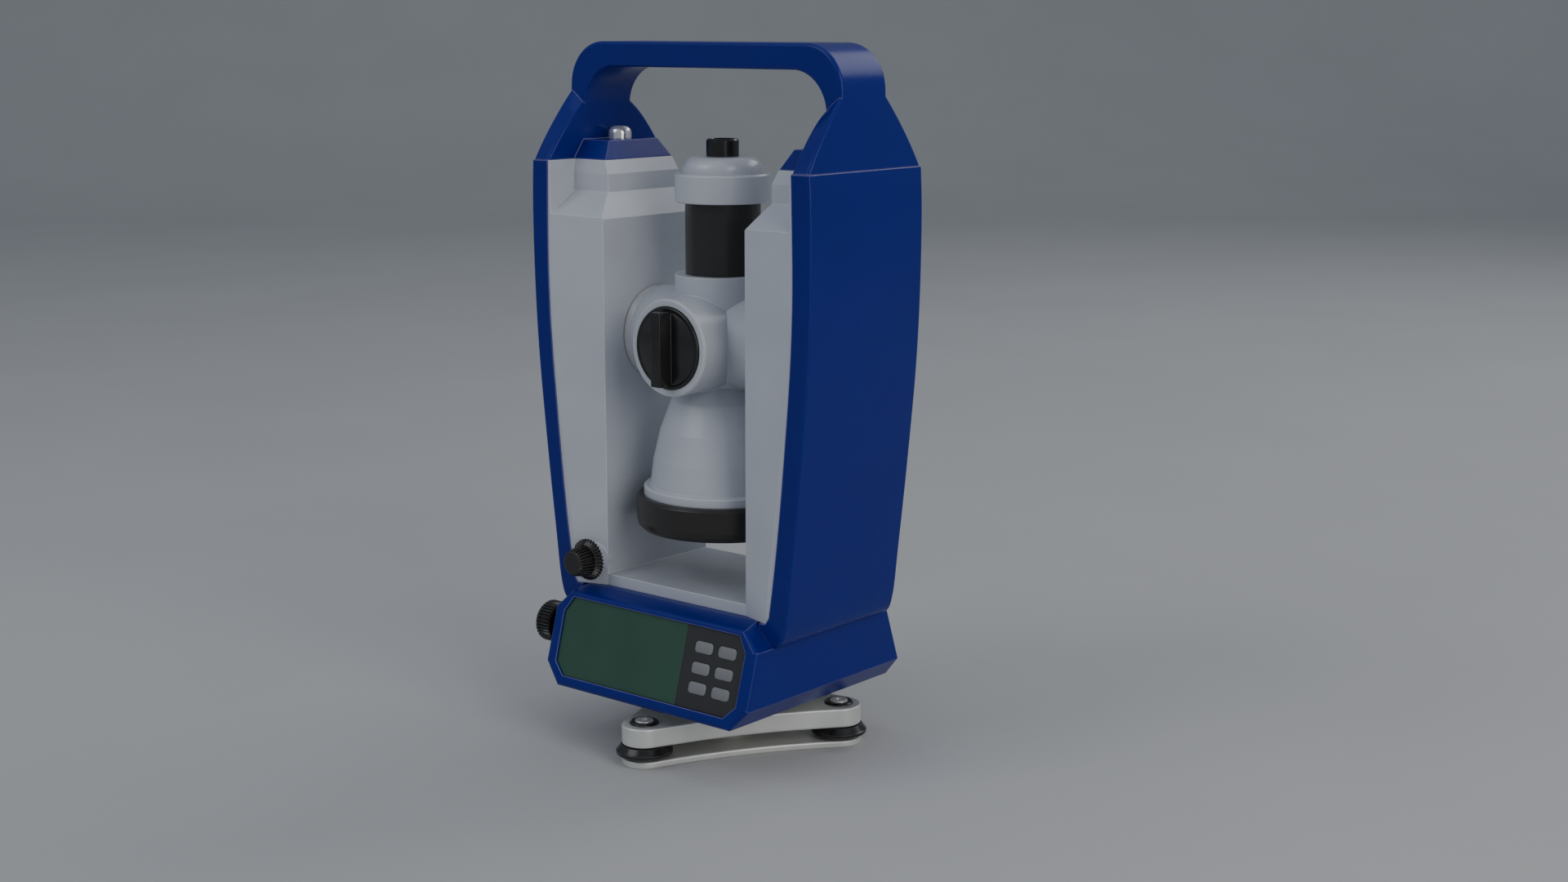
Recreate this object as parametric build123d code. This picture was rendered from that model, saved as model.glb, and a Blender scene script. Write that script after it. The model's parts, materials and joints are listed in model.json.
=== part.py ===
from build123d import *
import math
import os

# Electronic theodolite on its three-screw base. Millimetres, +Z up, display side faces -Y.
# Origin: centre of the underside of the foot plate, on the vertical axis.

# ---- Driving dimensions -------------------------------------------------------------------
TOTAL_H = 340.0            # foot plate underside to top of the handle
TRUNNION_Z = 199.0         # height of the tilting axis

FOOT_R = 57.2              # levelling screws, distance from the vertical axis
FOOT_ANGLES = (268.5, 28.5, 148.5)
PLATE_END_R = 10.8         # rounded corner of both three-armed plates
PLATE_SAG = 4.3            # how far each long edge bows inwards
FOOT_PLATE_T = 3.5
BODY_Z0, BODY_Z1 = 10.2, 19.8
HUB_R, HUB_Z1 = 27.0, 28.0
THREAD_R = 7.98            # 5/8 inch tripod screw, plain bore at nominal size with clearance
BUSH_R, BUSH_TOP = 12.0, 9.9

WHEEL_R = 13.7             # black levelling wheel
SPINDLE_R = 4.4            # levelling screw
RUN = 0.05                 # radial running clearance

SLEEVE_R, AXIS_R = 14.0, 9.0
CIRCLE_Z0, CIRCLE_T = 33.6, 1.5

HOUSING_Z0, HOUSING_Z1 = 28.7, 76.4
HOUSING_OUTLINE = [(55.7, 28.7), (65.4, 38.8), (65.4, 65.4), (54.5, 76.4)]
FRONT_Y, FRONT_SLOPE = 52.8, 0.285     # front face distance at z = KNEE_Z and its lean
REAR_Y, REAR_SLOPE = 46.5, 0.35
KNEE_Z = 65.4
FRONT_EDGE_R, REAR_EDGE_R = 2.4, 1.0
WALL = 2.5
FRONT_WALL = 4.5

PANEL_Z = 52.6             # height of the display panel's local origin
PANEL_OCTAGON = [(53.9, 20.0), (58.8, 12.4), (58.6, -12.6), (52.3, -18.8)]
PANEL_RECESS, PANEL_T = 1.0, 1.6
SPLIT_U = 21.2             # display to the left, keypad to the right
KEY_W, KEY_H, KEY_R = 10.8, 5.6, 1.8
KEY_U, KEY_V = (33.3, 47.7), (10.6, 0.7, -8.6)
KEY_TRAVEL = 0.6

SEAM_Z = 283.5             # top of the side covers, underside of the handle
COVER_Y = 41.5             # half depth over the covers
COVER_PROFILE = [(71.8, 72.0), (74.7, 90.0), (78.2, 120.0), (82.0, 155.0), (84.9, 185.0),
                 (86.8, 217.0), (87.5, 250.0), (87.3, 270.0), (86.6, 283.5)]
COVER_EDGE_R = 1.2
COVER_T = 3.0
WHITE_PROFILE = [(63.3, 80.0), (66.2, 100.0), (69.8, 130.0), (72.9, 162.0), (76.0, 200.0),
                 (77.1, 230.0), (76.9, 256.0), (76.3, 283.5)]
WHITE_BOTTOM_X = 60.8
FLOOR_Z = 82.0
INNER_X = 44.8             # half gap between the standards
NECK_X, NECK_Y = 51.6, 25.0
NECK_Z0, NECK_Z1, NECK_Z2 = 256.4, 268.4, 277.0
TOP_X, TOP_Y = 54.6, 23.5
INNER_FRONT_Y, OUTER_FRONT_Y = 36.1, 41.1
SHOULDER_X = 75.2
STANDARD_FLAT = [(60.3, 70.0), (63.2, 100.0), (70.2, 155.0), (75.0, 205.0), (75.6, 235.0), (75.2, 290.0)]

HANDLE_OUT = [(86.2, 283.5), (84.824, 319.6)]
HANDLE_IN = [(76.0, 283.5), (75.4, 308.6)]
HANDLE_BAR_T = 12.0
FLARE_INNER = [(16.4, 302.1), (26.6, 298.1), (35.0, 290.3), (41.0, 283.5)]    # leg outline at x = 66
FLARE_OUTER = [(16.4, 325.88), (27.2, 306.8), (35.0, 294.6), (41.0, 283.5)]    # and at x = 95
HANDLE_EDGE_R = 1.5
LEDGE_TOP_Z, LEDGE_TOP_X, LEDGE_TOP_Y = 292.6, 58.2, 17.1
DOME_R, DOME_X = 5.7, 67.4

BODY_R = 23.2              # telescope upper collar
CROSS_R = 23.2             # front tube and side arms
FRONT_TUBE_Y = 39.5
BARREL_R, BARREL_Z0, BARREL_Z1 = 18.1, 230.8, 265.2
COLLAR_R, COLLAR_Z1 = 22.9, 278.8
EYE_DOME_R, EYE_DOME_Z1 = 19.0, 286.5
EYEPIECE_R, EYEPIECE_Z1 = 7.8, 294.9
OBJECTIVE_R, OBJECTIVE_Z0, OBJECTIVE_Z1 = 42.8, 107.0, 123.8
FLANGE_R, FLANGE_Z1 = 39.2, 128.4
BELL_PROFILE = [(18.8, 178.0), (25.4, 170.0), (31.0, 155.5), (34.4, 141.0), (36.0, 128.7)]
ARM_X, RING_X = 40.0, 44.3  # end of the side arms, end of the metal ring on each
CELL_R = 12.0              # focusing cell
PINION_PITCH_R = 4.0
PINION_TEETH = 16
TRUNNION_R = 9.0

V_KNOB_X, V_KNOB_Z = -52.4, 89.3
V_RING_Y, V_KNOB_END = 41.25, 53.4     # back of the clamp ring and face of the tangent knob
H_KNOB_Y, H_KNOB_Z = -40.7, 53.1


# ---- Helpers ------------------------------------------------------------------------------
def tube(r_out, r_in, z0, z1):
    """Upright ring about Z."""
    ring = Cylinder(r_out, z1 - z0, align=(Align.CENTER, Align.CENTER, Align.MIN))
    if r_in:
        ring -= Cylinder(r_in, z1 - z0, align=(Align.CENTER, Align.CENTER, Align.MIN))
    return Pos(0, 0, z0) * ring


def turned(points):
    """Solid of revolution about Z from (radius, height) points."""
    return revolve(make_face(Plane.XZ * Polyline(*points, close=True)), Axis.Z)


def along_x(shape):
    """Turn a shape built on +Z so that it points along +X."""
    return Rot(0, 90, 0) * shape


def along_front(shape):
    """Turn a shape built on +Z so that it points along -Y."""
    return Rot(90, 0, 0) * shape


def mirrored_x(shape):
    return mirror(shape, about=Plane.YZ)


def block(x0, x1, y0, y1, z0, z1):
    return Pos((x0 + x1) / 2, (y0 + y1) / 2, (z0 + z1) / 2) * Box(x1 - x0, y1 - y0, z1 - z0)


def front_prism(points, y0, y1):
    """Extrude a closed (x, z) outline from y0 to y1."""
    face = make_face(Plane.XZ * Polyline(*points, close=True))
    return Pos(0, y0, 0) * extrude(face, y1 - y0, dir=(0, 1, 0))


def side_prism(points, x0, x1):
    """Extrude a closed (y, z) outline from x0 to x1."""
    face = make_face(Plane.YZ * Polyline(*points, close=True))
    return Pos(x0, 0, 0) * extrude(face, x1 - x0, dir=(1, 0, 0))


def fluted(r, z0, z1, count, depth, bore=0.0):
    """Upright knurled ring with pointed ribs and chamfered ends."""
    points = []
    for i in range(count):
        for k, radius in ((0.0, r), (0.22, r), (0.5, r - depth), (0.72, r - depth)):
            a = 2 * math.pi * (i + k) / count
            points.append((radius * math.cos(a), radius * math.sin(a)))
    ring = Pos(0, 0, z0) * extrude(make_face(Polyline(*points, close=True)), z1 - z0, dir=(0, 0, 1))
    ends = turned([(0, z0), (r - 0.7, z0), (r + 0.1, z0 + 0.8), (r + 0.1, z1 - 0.8), (r - 0.7, z1), (0, z1)])
    ring &= ends
    if bore:
        ring -= tube(bore, 0, z0 - 1, z1 + 1)
    return ring


def foot_positions():
    for angle in FOOT_ANGLES:
        a = math.radians(angle)
        yield FOOT_R * math.cos(a), FOOT_R * math.sin(a)


def three_arm_plate(z0, z1, edge):
    """Plate with three rounded arms joined by edges that bow inwards."""
    a = [math.radians(v) for v in FOOT_ANGLES]
    centres = [Vector(FOOT_R * math.cos(v), FOOT_R * math.sin(v), 0) for v in a]
    edges = []
    for i in range(3):
        c0, c1 = centres[i], centres[(i + 1) % 3]
        outward = (c1 - c0).normalized().cross(Vector(0, 0, 1))
        lean = math.atan2(2 * PLATE_SAG, (c1 - c0).length / 2)
        tilt0 = outward.rotate(Axis.Z, math.degrees(lean)) * PLATE_END_R
        tilt1 = outward.rotate(Axis.Z, -math.degrees(lean)) * PLATE_END_R
        start, end = c0 + tilt0, c1 + tilt1
        middle = (start + end) * 0.5 - outward * PLATE_SAG
        edges.append((start, middle, end))
    wires = []
    for i in range(3):
        start, middle, end = edges[i]
        wires.append(ThreePointArc(start, middle, end))
        following = edges[(i + 1) % 3][0]
        centre = centres[(i + 1) % 3]
        tip = centre + centre.normalized() * PLATE_END_R
        wires.append(ThreePointArc(end, tip, following))
    plate = Pos(0, 0, z0) * extrude(make_face(Wire(wires)), z1 - z0, dir=(0, 0, 1))
    rims = plate.edges().filter_by(lambda e: abs(e.bounding_box().size.Z) < 1e-6)
    return fillet(rims, edge)


# ---- Base: foot plate, levelling screws, bearing -------------------------------------------
def build_base():
    foot_plate = three_arm_plate(0, FOOT_PLATE_T, 0.9)
    foot_plate -= tube(BUSH_R, 0, -1, 5)
    body = three_arm_plate(BODY_Z0, BODY_Z1, 0.9)
    body += tube(HUB_R, 0, BODY_Z1 - 1, HUB_Z1)
    body -= tube(SLEEVE_R, 0, 11.5, HUB_Z1 + 1) + tube(SLEEVE_R - 2, 0, 10, 12)

    retainers, bushes = [], []
    for i, (x, y) in enumerate(foot_positions(), 1):
        at = Pos(x, y, 0)
        foot_plate -= at * tube(2.66, 0, 1.08, 5)
        body -= at * tube(SPINDLE_R + RUN, 0, 10, 21)
        retainers.append(at * turned([(2.66, 3.5), (6.2, 3.5), (6.2, 5.3), (5.9, 5.6),
                                      (2.34, 5.6), (2.34, 4.95), (2.66, 4.95)]))
        bushes.append(at * turned([(SPINDLE_R + 0.2, BODY_Z1), (7.1, BODY_Z1), (7.1, 20.3),
                                   (6.3, 21.1), (5.1, 21.1), (SPINDLE_R + 0.2, 20.6)]))

        ball = Pos(0, 0, 3.7) * Sphere(2.6)
        screw = ball + tube(1.8, 0, 4.5, 7.5) + turned(
            [(0, 7.0), (3.6, 7.0), (SPINDLE_R, 7.8), (SPINDLE_R, 21.3), (4.1, 21.6), (0, 21.6)])
        screw -= tube(1.5, 0, 20.7, 23)
        wheel = turned([(SPINDLE_R, 5.2), (WHEEL_R - 0.5, 5.2), (WHEEL_R, 5.7), (WHEEL_R, 7.0),
                        (WHEEL_R - 0.5, 7.5), (11.4, 9.9), (SPINDLE_R, 9.9)])
        wheel -= tube(6.6, 0, 5, 7.0)
        wheel += tube(6.7, SPINDLE_R, 7.0, 9.9)
        yield f"foot_spindle_{i}", at * screw
        yield f"foot_wheel_{i}", at * wheel

    yield "tribrach_base_plate", foot_plate
    yield "tripod_thread_bush", turned(
        [(THREAD_R, 0), (BUSH_R, 0), (BUSH_R, 3.5), (15.0, 3.5), (15.0, 5.2),
         (12.6, 5.2), (12.0, BUSH_TOP), (THREAD_R, BUSH_TOP)])
    yield "ball_retainers", Compound(retainers)
    yield "tribrach_body", body
    yield "levelling_screw_bushes", Compound(bushes)
    yield "axis_sleeve", tube(SLEEVE_R, AXIS_R + RUN, 11.5, CIRCLE_Z0) + tube(20, 13, 31.6, CIRCLE_Z0)
    yield "horizontal_circle", tube(34, 11, CIRCLE_Z0, CIRCLE_Z0 + CIRCLE_T)


# ---- Lower housing, display and keys -------------------------------------------------------
def panel_plane(depth=0.0):
    """Plane of the sloping front, moved into the housing by depth."""
    n = Vector(0, -1, FRONT_SLOPE).normalized()
    origin = Vector(0, -(FRONT_Y + FRONT_SLOPE * (KNEE_Z - PANEL_Z)), PANEL_Z) - n * depth
    return Plane(origin=origin, x_dir=(1, 0, 0), z_dir=n)


def panel_octagon(inset=0.0):
    pts = [(u - inset, v - math.copysign(inset, v)) for u, v in PANEL_OCTAGON]
    return make_face(Polyline(*pts, *[(-u, v) for u, v in reversed(pts)], close=True))


def housing_solid(inset=0.0, front=0.0):
    """Octagonal prism with a sloping front and back; inset shrinks every face."""
    half = [(x - inset * (0.45 if z in (HOUSING_Z0, HOUSING_Z1) else 1.0),
             z + inset if z == HOUSING_Z0 else z - inset if z == HOUSING_Z1 else z)
            for x, z in HOUSING_OUTLINE]
    outline = half + [(-x, z) for x, z in reversed(half)]
    solid = front_prism(outline, -80, 80)
    lean_f, lean_r = math.hypot(1, FRONT_SLOPE), math.hypot(1, REAR_SLOPE)
    yf = FRONT_Y - front * lean_f
    yr = REAR_Y - inset * lean_r
    up, down = 20, 45
    top, bottom = KNEE_Z + up, KNEE_Z - down
    solid &= side_prism([(-(yf - FRONT_SLOPE * up), top), (-(yf + FRONT_SLOPE * down), bottom),
                         (yr + REAR_SLOPE * down, bottom), (yr - REAR_SLOPE * up, top)], -90, 90)
    if not inset:
        solid -= side_prism([(-40, HOUSING_Z1), (-40, 90), (-60, 90), (-60, 72.3)], -90, 90)
    return solid


def build_housing():
    outer = housing_solid()
    front = [f for f in outer.faces() if f.normal_at().Y < -0.9]
    shell = fillet([e for f in front for e in f.edges()], FRONT_EDGE_R)
    rear = [f for f in shell.faces() if f.normal_at().Y > 0.9]
    shell = fillet([e for f in rear for e in f.edges()], REAR_EDGE_R)
    shell -= housing_solid(WALL, FRONT_WALL)
    panel = panel_plane()
    rebate = PANEL_RECESS + PANEL_T
    shell -= extrude(panel_plane(rebate) * panel_octagon(), 10)
    shell -= extrude(panel_plane(FRONT_WALL + 2) * panel_octagon(2.5), 10)
    shell -= block(-46, 46, -39, 39, 28, 33)
    shell -= block(-49, 49, -42, 42, 28, 30.2)
    for side in (-1, 1):
        for y in (-36, 36):
            shell += Pos(side * 45.9, y, 30.2) * Box(
                8.6, 6, 6, align=(Align.CENTER, Align.CENTER, Align.MIN))
        x = 61.7 * side
        shell += block(min(x - 1.8, x + 1.8), max(x - 1.8, x + 1.8), -30, 36, 48, 52)
    knob = Pos(0, H_KNOB_Y, H_KNOB_Z)
    shell += knob * along_x(Pos(0, 0, -62) * Cylinder(6.5, 7.6))
    shell -= knob * along_x(Pos(0, 0, -64) * Cylinder(3.5 + RUN, 20))

    cover = block(-48.9, 48.9, -41.9, 41.9, HOUSING_Z0, 30.2) - tube(15.0, 0, 20, 40)
    screws = []
    for x in (-45.0, 45.0):
        for y in (-36, 36):
            cover -= Pos(x, y, 0) * (tube(1.5, 0, 20, 40) + turned([(0, 28), (2.9, 28), (2.9, 28.75),
                                                                   (1.5, 29.9), (0, 29.9)]))
            shell -= Pos(x, y, 0) * tube(1.5, 0, 20, 34.5)
            head = turned([(0, 28.8), (2.8, 28.8), (1.5, 29.9), (1.5, 34.4), (0, 34.4)])
            screws.append(Pos(x, y, 0) * (head - Pos(0, 0, 28.8) * Box(3.2, 0.7, 1.2)))
    yield "base_housing", shell
    yield "bottom_cover", cover
    yield "bottom_cover_screws", Compound(screws)

    glass_cut = Pos(-100 + SPLIT_U, 0, 0) * Rectangle(200, 100)
    keypad_cut = Pos(100 + SPLIT_U, 0, 0) * Rectangle(200, 100)
    back = panel_plane(rebate)
    yield "display_window", extrude(back * (panel_octagon(0.1) & glass_cut), PANEL_T)
    yield "display_module", extrude(panel_plane(7.5) * Pos(-16, 0, 0) * Rectangle(68, 29), 7.5 - rebate)
    keypad = extrude(back * (panel_octagon(0.1) & keypad_cut), PANEL_T)
    board = extrude(panel_plane(FRONT_WALL + 1.6) * Pos(40, 0.5, 0) * Rectangle(34.5, 30), 1.6)
    keys = []
    for v in KEY_V:
        for u in KEY_U:
            spot = Pos(u, v, 0)
            hole = back * spot * RectangleRounded(KEY_W + 0.2, KEY_H + 0.2, KEY_R + 0.1)
            keypad -= extrude(hole, PANEL_T)
            cap = extrude(back * spot * RectangleRounded(KEY_W, KEY_H, KEY_R), PANEL_T + 0.7)
            cap = fillet(cap.faces().sort_by(Axis((0, 0, 0), panel.z_dir))[-1].edges(), 0.35)
            flange = RectangleRounded(KEY_W + 1.4, KEY_H + 1.4, 2)
            foot = extrude(panel_plane(rebate + 0.8) * spot * flange, 0.8)
            keys.append(cap + foot)
            dome_h = FRONT_WALL - (rebate + 0.8 + KEY_TRAVEL) - 0.04
            board += extrude(panel_plane(FRONT_WALL) * spot * Circle(2.2), dome_h)
    yield "keypad_panel", keypad
    yield "key_board", board
    for i, key in enumerate(keys, 1):
        yield f"key_{i}", key

    pcb = block(-62.7, 62.7, -30, 36, 52, 53.6) - tube(16, 0, 50, 56)
    for x, y, w, d, h in ((-38, 12, 14, 14, 2.2), (-36, -14, 10, 18, 1.8), (34, 14, 18, 12, 2.4),
                          (36, -12, 9, 9, 1.6), (6, 26, 16, 7, 4.0), (-10, -23, 20, 5, 5.0)):
        pcb += block(x - w / 2, x + w / 2, y - d / 2, y + d / 2, 53.5, 53.6 + h)
    yield "main_board", pcb
    yield "axis_spindle", tube(AXIS_R, 0, 12.5, 38) + tube(13, 0, 36, 68) + tube(24, 0, 67.9, 73.9)


# ---- Standards, covers and handle ----------------------------------------------------------
def outer_side(grow=0.0):
    """Face of one side's outer outline in the XZ plane, from the centre line outwards."""
    corner = [(64.4, KNEE_Z), (67.8, 66.2), (70.4, 68.6)]
    points = [(x + grow, z) for x, z in corner + COVER_PROFILE]
    x0, x1 = points[0][0], points[-1][0]
    edge = (Line((0, KNEE_Z), (x0, KNEE_Z)), Spline(*points), Line((x1, SEAM_Z), (0, SEAM_Z)),
            Line((0, SEAM_Z), (0, KNEE_Z)))
    return make_face(Plane.XZ * Wire(edge))


def white_side():
    """Face of one side of the pale frame in the XZ plane, from the centre line outwards."""
    pts = WHITE_PROFILE
    curve = Spline(*pts)
    corner = Spline((WHITE_BOTTOM_X, HOUSING_Z1), (61.8, 77.6), pts[0])
    edge = (Line((0, HOUSING_Z1), (WHITE_BOTTOM_X, HOUSING_Z1)), corner, curve,
            Line(pts[-1], (0, SEAM_Z)), Line((0, SEAM_Z), (0, HOUSING_Z1)))
    return make_face(Plane.XZ * Wire(edge))


def thick(face, half):
    return extrude(face, half, both=True)


def build_upper():
    envelope = thick(outer_side(), COVER_Y)
    rim = [e for e in envelope.edges()
           if abs(abs(e.center().Y) - COVER_Y) < 0.01 and e.center().X > 60 and e.center().Z < SEAM_Z - 1]
    envelope = fillet(rim, COVER_EDGE_R)
    white = thick(white_side(), COVER_Y + 1)

    cover = envelope - white
    cover -= thick(outer_side(-COVER_T), COVER_Y - COVER_T) & block(0, 100, -50, 50, 78, 300)
    cover -= housing_solid()
    cover -= block(-5, 57.5, -50, 50, 60, 90)
    yield "right_cover", cover
    yield "left_cover", mirrored_x(cover)

    right = white & block(0, 100, -OUTER_FRONT_Y, OUTER_FRONT_Y, 70, 300)
    for s in (-1, 1):
        sections = []
        for x, z in STANDARD_FLAT:
            ring = [(-20, INNER_FRONT_Y), (INNER_X, INNER_FRONT_Y), (x, OUTER_FRONT_Y),
                    (100, OUTER_FRONT_Y), (100, 60), (-20, 60)]
            sections.append(Pos(0, 0, z) * make_face(Polyline(*[(u, s * v) for u, v in ring], close=True)))
        right -= loft(sections, ruled=True)
        steps = []
        for x, y, z in ((-6.0, 28.0, 255.4), (SHOULDER_X, 41.0, 258.0)):
            side = [(60, z), (y, z), (NECK_Y, NECK_Z1), (NECK_Y, NECK_Z2),
                    (TOP_Y, SEAM_Z + 1), (60, SEAM_Z + 1)]
            outline = Polyline(*[(s * v, w) for v, w in side], close=True)
            steps.append(Pos(x, 0, 0) * make_face(Plane.YZ * outline))
        right -= loft(steps, ruled=True)
    gap = [(0, FLOOR_Z), (INNER_X, FLOOR_Z), (INNER_X, NECK_Z0), (NECK_X, NECK_Z1), (NECK_X, NECK_Z2),
           (TOP_X, SEAM_Z), (TOP_X, 300), (0, 300)]
    right -= front_prism(gap, -60, 60)
    seat = along_x(tube(18, 0, INNER_X, INNER_X + 7)).moved(Location((0, 0, TRUNNION_Z)))
    right += seat & block(INNER_X, 60, -60, 60, 150, 250)
    hollow = block(INNER_X + 3, 100, -33, 33, 86, NECK_Z0 - 3)
    hollow -= along_x(Cylinder(18, 104)).moved(Location((0, 0, TRUNNION_Z)))
    hollow += block(NECK_X + 3.4, 100, -NECK_Y + 3.5, NECK_Y - 3.5, NECK_Z0 - 4, SEAM_Z - 3)
    right -= hollow
    right -= along_x(Cylinder(13, 130)).moved(Location((0, 0, TRUNNION_Z)))
    frame = right + mirrored_x(right)
    for s in (-1, 1):
        frame -= Pos(s * DOME_X, 0, 0) * tube(2.5, 0, SEAM_Z - 4, SEAM_Z + 1)
    knob = Pos(V_KNOB_X, 0, V_KNOB_Z)
    frame += knob * along_front(tube(6.5, 0, 28, 33) + tube(8.0, 0, 33, V_RING_Y - 0.15))
    frame -= knob * along_front(tube(3.5 + RUN, 0, 20, 60))
    yield "yoke_frame", frame

    bearing = along_x(tube(13, TRUNNION_R + RUN, INNER_X + 0.2, 51.8)).moved(Location((0, 0, TRUNNION_Z)))
    yield "trunnion_bearings", Compound([bearing, mirrored_x(bearing)])

    # Handle: front outline cut by the flare of the legs, then the two feet.
    under = TOTAL_H - HANDLE_BAR_T
    (foot_x, foot_z), (leg_x, leg_z) = HANDLE_OUT
    lean = math.atan2(foot_x - leg_x, leg_z - foot_z)
    bend = (TOTAL_H - leg_z) / (1 - math.sin(lean))
    bend_x, bend_z, half = leg_x - bend * math.cos(lean), TOTAL_H - bend, lean / 2 + math.pi / 4
    middle = (bend_x + bend * math.cos(half), bend_z + bend * math.sin(half))
    outline = [Line(*HANDLE_OUT), ThreePointArc(HANDLE_OUT[1], middle, (bend_x, TOTAL_H)),
               Line((bend_x, TOTAL_H), (-1, TOTAL_H)), Line((-1, TOTAL_H), (-1, under)),
               Line((-1, under), (57.0, under)), ThreePointArc((57.0, under), (69.6, 322.2), HANDLE_IN[1]),
               Line(HANDLE_IN[1], HANDLE_IN[0]), Line(HANDLE_IN[0], HANDLE_OUT[0])]
    arch = extrude(make_face(Plane.XZ * Wire(outline)), 45, both=True)
    above = TOTAL_H + 1
    flares = []
    for x, flare in ((66.0, FLARE_INNER), (95.0, FLARE_OUTER)):
        (neck_y, neck_z), (foot_y, foot_z) = flare[0], flare[-1]
        side = [Spline(*flare), Line((foot_y, foot_z), (-foot_y, foot_z)),
                Spline(*[(-y, z) for y, z in flare[::-1]]), Line((-neck_y, neck_z), (-neck_y, above)),
                Line((-neck_y, above), (neck_y, above)), Line((neck_y, above), (neck_y, neck_z))]
        flares.append(Pos(x, 0, 0) * make_face(Plane.YZ * Wire(side)))
    width = loft(flares, ruled=True) + block(-5, 66.5, -neck_y, neck_y, SEAM_Z + 16, above)
    arch &= width
    arch = fillet([e for e in arch.edges() if e.center().X > 0 and e.center().Z > SEAM_Z + 0.5
                   and abs(e.center().Y) > 10 and abs(e.bounding_box().size.Y) < 30
                   and not 10 < e.length < 14], HANDLE_EDGE_R)
    lower = Pos((TOP_X + 77) / 2, 0, SEAM_Z) * Rectangle(77 - TOP_X, 2 * TOP_Y)
    upper = Pos((LEDGE_TOP_X + 77) / 2, 0, LEDGE_TOP_Z) * Rectangle(77 - LEDGE_TOP_X, 2 * LEDGE_TOP_Y)
    ledge = loft([lower, upper])
    leg = arch + ledge
    leg -= Pos(DOME_X, 0, 0) * tube(2.5, 0, SEAM_Z - 1, LEDGE_TOP_Z + 1)
    handle = leg + mirrored_x(leg)
    yield "handle", handle

    screws = []
    for s in (-1, 1):
        dome = turned([(0, LEDGE_TOP_Z), (DOME_R, LEDGE_TOP_Z), (DOME_R, LEDGE_TOP_Z + 2.6), (5.3, 296.4),
                       (4.3, 297.8), (2.6, 298.6), (0, 298.9)])
        screws.append(Pos(s * DOME_X, 0, 0) * (dome + tube(2.5, 0, SEAM_Z - 2.9, LEDGE_TOP_Z + 1)))
    yield "handle_screws", Compound(screws)


# ---- Knobs ---------------------------------------------------------------------------------
def build_knobs():
    v = Pos(V_KNOB_X, 0, V_KNOB_Z)
    back, split = V_RING_Y, V_RING_Y + 3.8
    cone = turned([(0, back), (11, back), (11, back + 2.1), (10.3, back + 2.3), (8.2, split), (0, split)])
    ring = (fluted(10.3, back, split, 34, 0.9, 2.05) & cone) + tube(3.5, 2.05, 31, back + 0.9)
    yield "vertical_clamp_knob", v * along_front(ring)
    taper = turned([(0, split), (8.0, split), (7.9, split + 0.3), (6.3, V_KNOB_END - 0.8),
                    (5.6, V_KNOB_END), (0, V_KNOB_END)])
    cap = fluted(7.9, split + 0.1, V_KNOB_END, 24, 1.5) & taper
    yield "vertical_tangent_knob", v * along_front(cap - tube(2.0, 0, split, V_KNOB_END - 1.2))
    yield "vertical_tangent_shaft", v * along_front(tube(2.0, 0, 30, V_KNOB_END - 1.2))

    h = Pos(0, H_KNOB_Y, H_KNOB_Z) * Rot(0, -90, 0)
    yield "horizontal_clamp_knob", h * (fluted(6.4, 66.4, 72.9, 24, 0.7, 2.05) + tube(3.5, 2.05, 57, 68))
    yield "horizontal_tangent_knob", h * (fluted(10.3, 73.0, 82.2, 34, 1.1) - tube(2.0, 0, 72, 81.0))
    yield "horizontal_tangent_shaft", h * tube(2.0, 0, 54, 81.0)


# ---- Telescope -----------------------------------------------------------------------------
def gear_points(teeth, pitch_r, addendum, dedendum, thin):
    """Straight-flanked gear outline with thinned teeth for backlash."""
    points = []
    for i in range(teeth):
        centre = 2 * math.pi * i / teeth
        step = 2 * math.pi / teeth
        for k, r in ((-0.27 + thin, pitch_r - dedendum), (-0.11 + thin, pitch_r + addendum),
                     (0.11 - thin, pitch_r + addendum), (0.27 - thin, pitch_r - dedendum)):
            a = centre + k * step
            points.append((r * math.cos(a), r * math.sin(a)))
    return points


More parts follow.
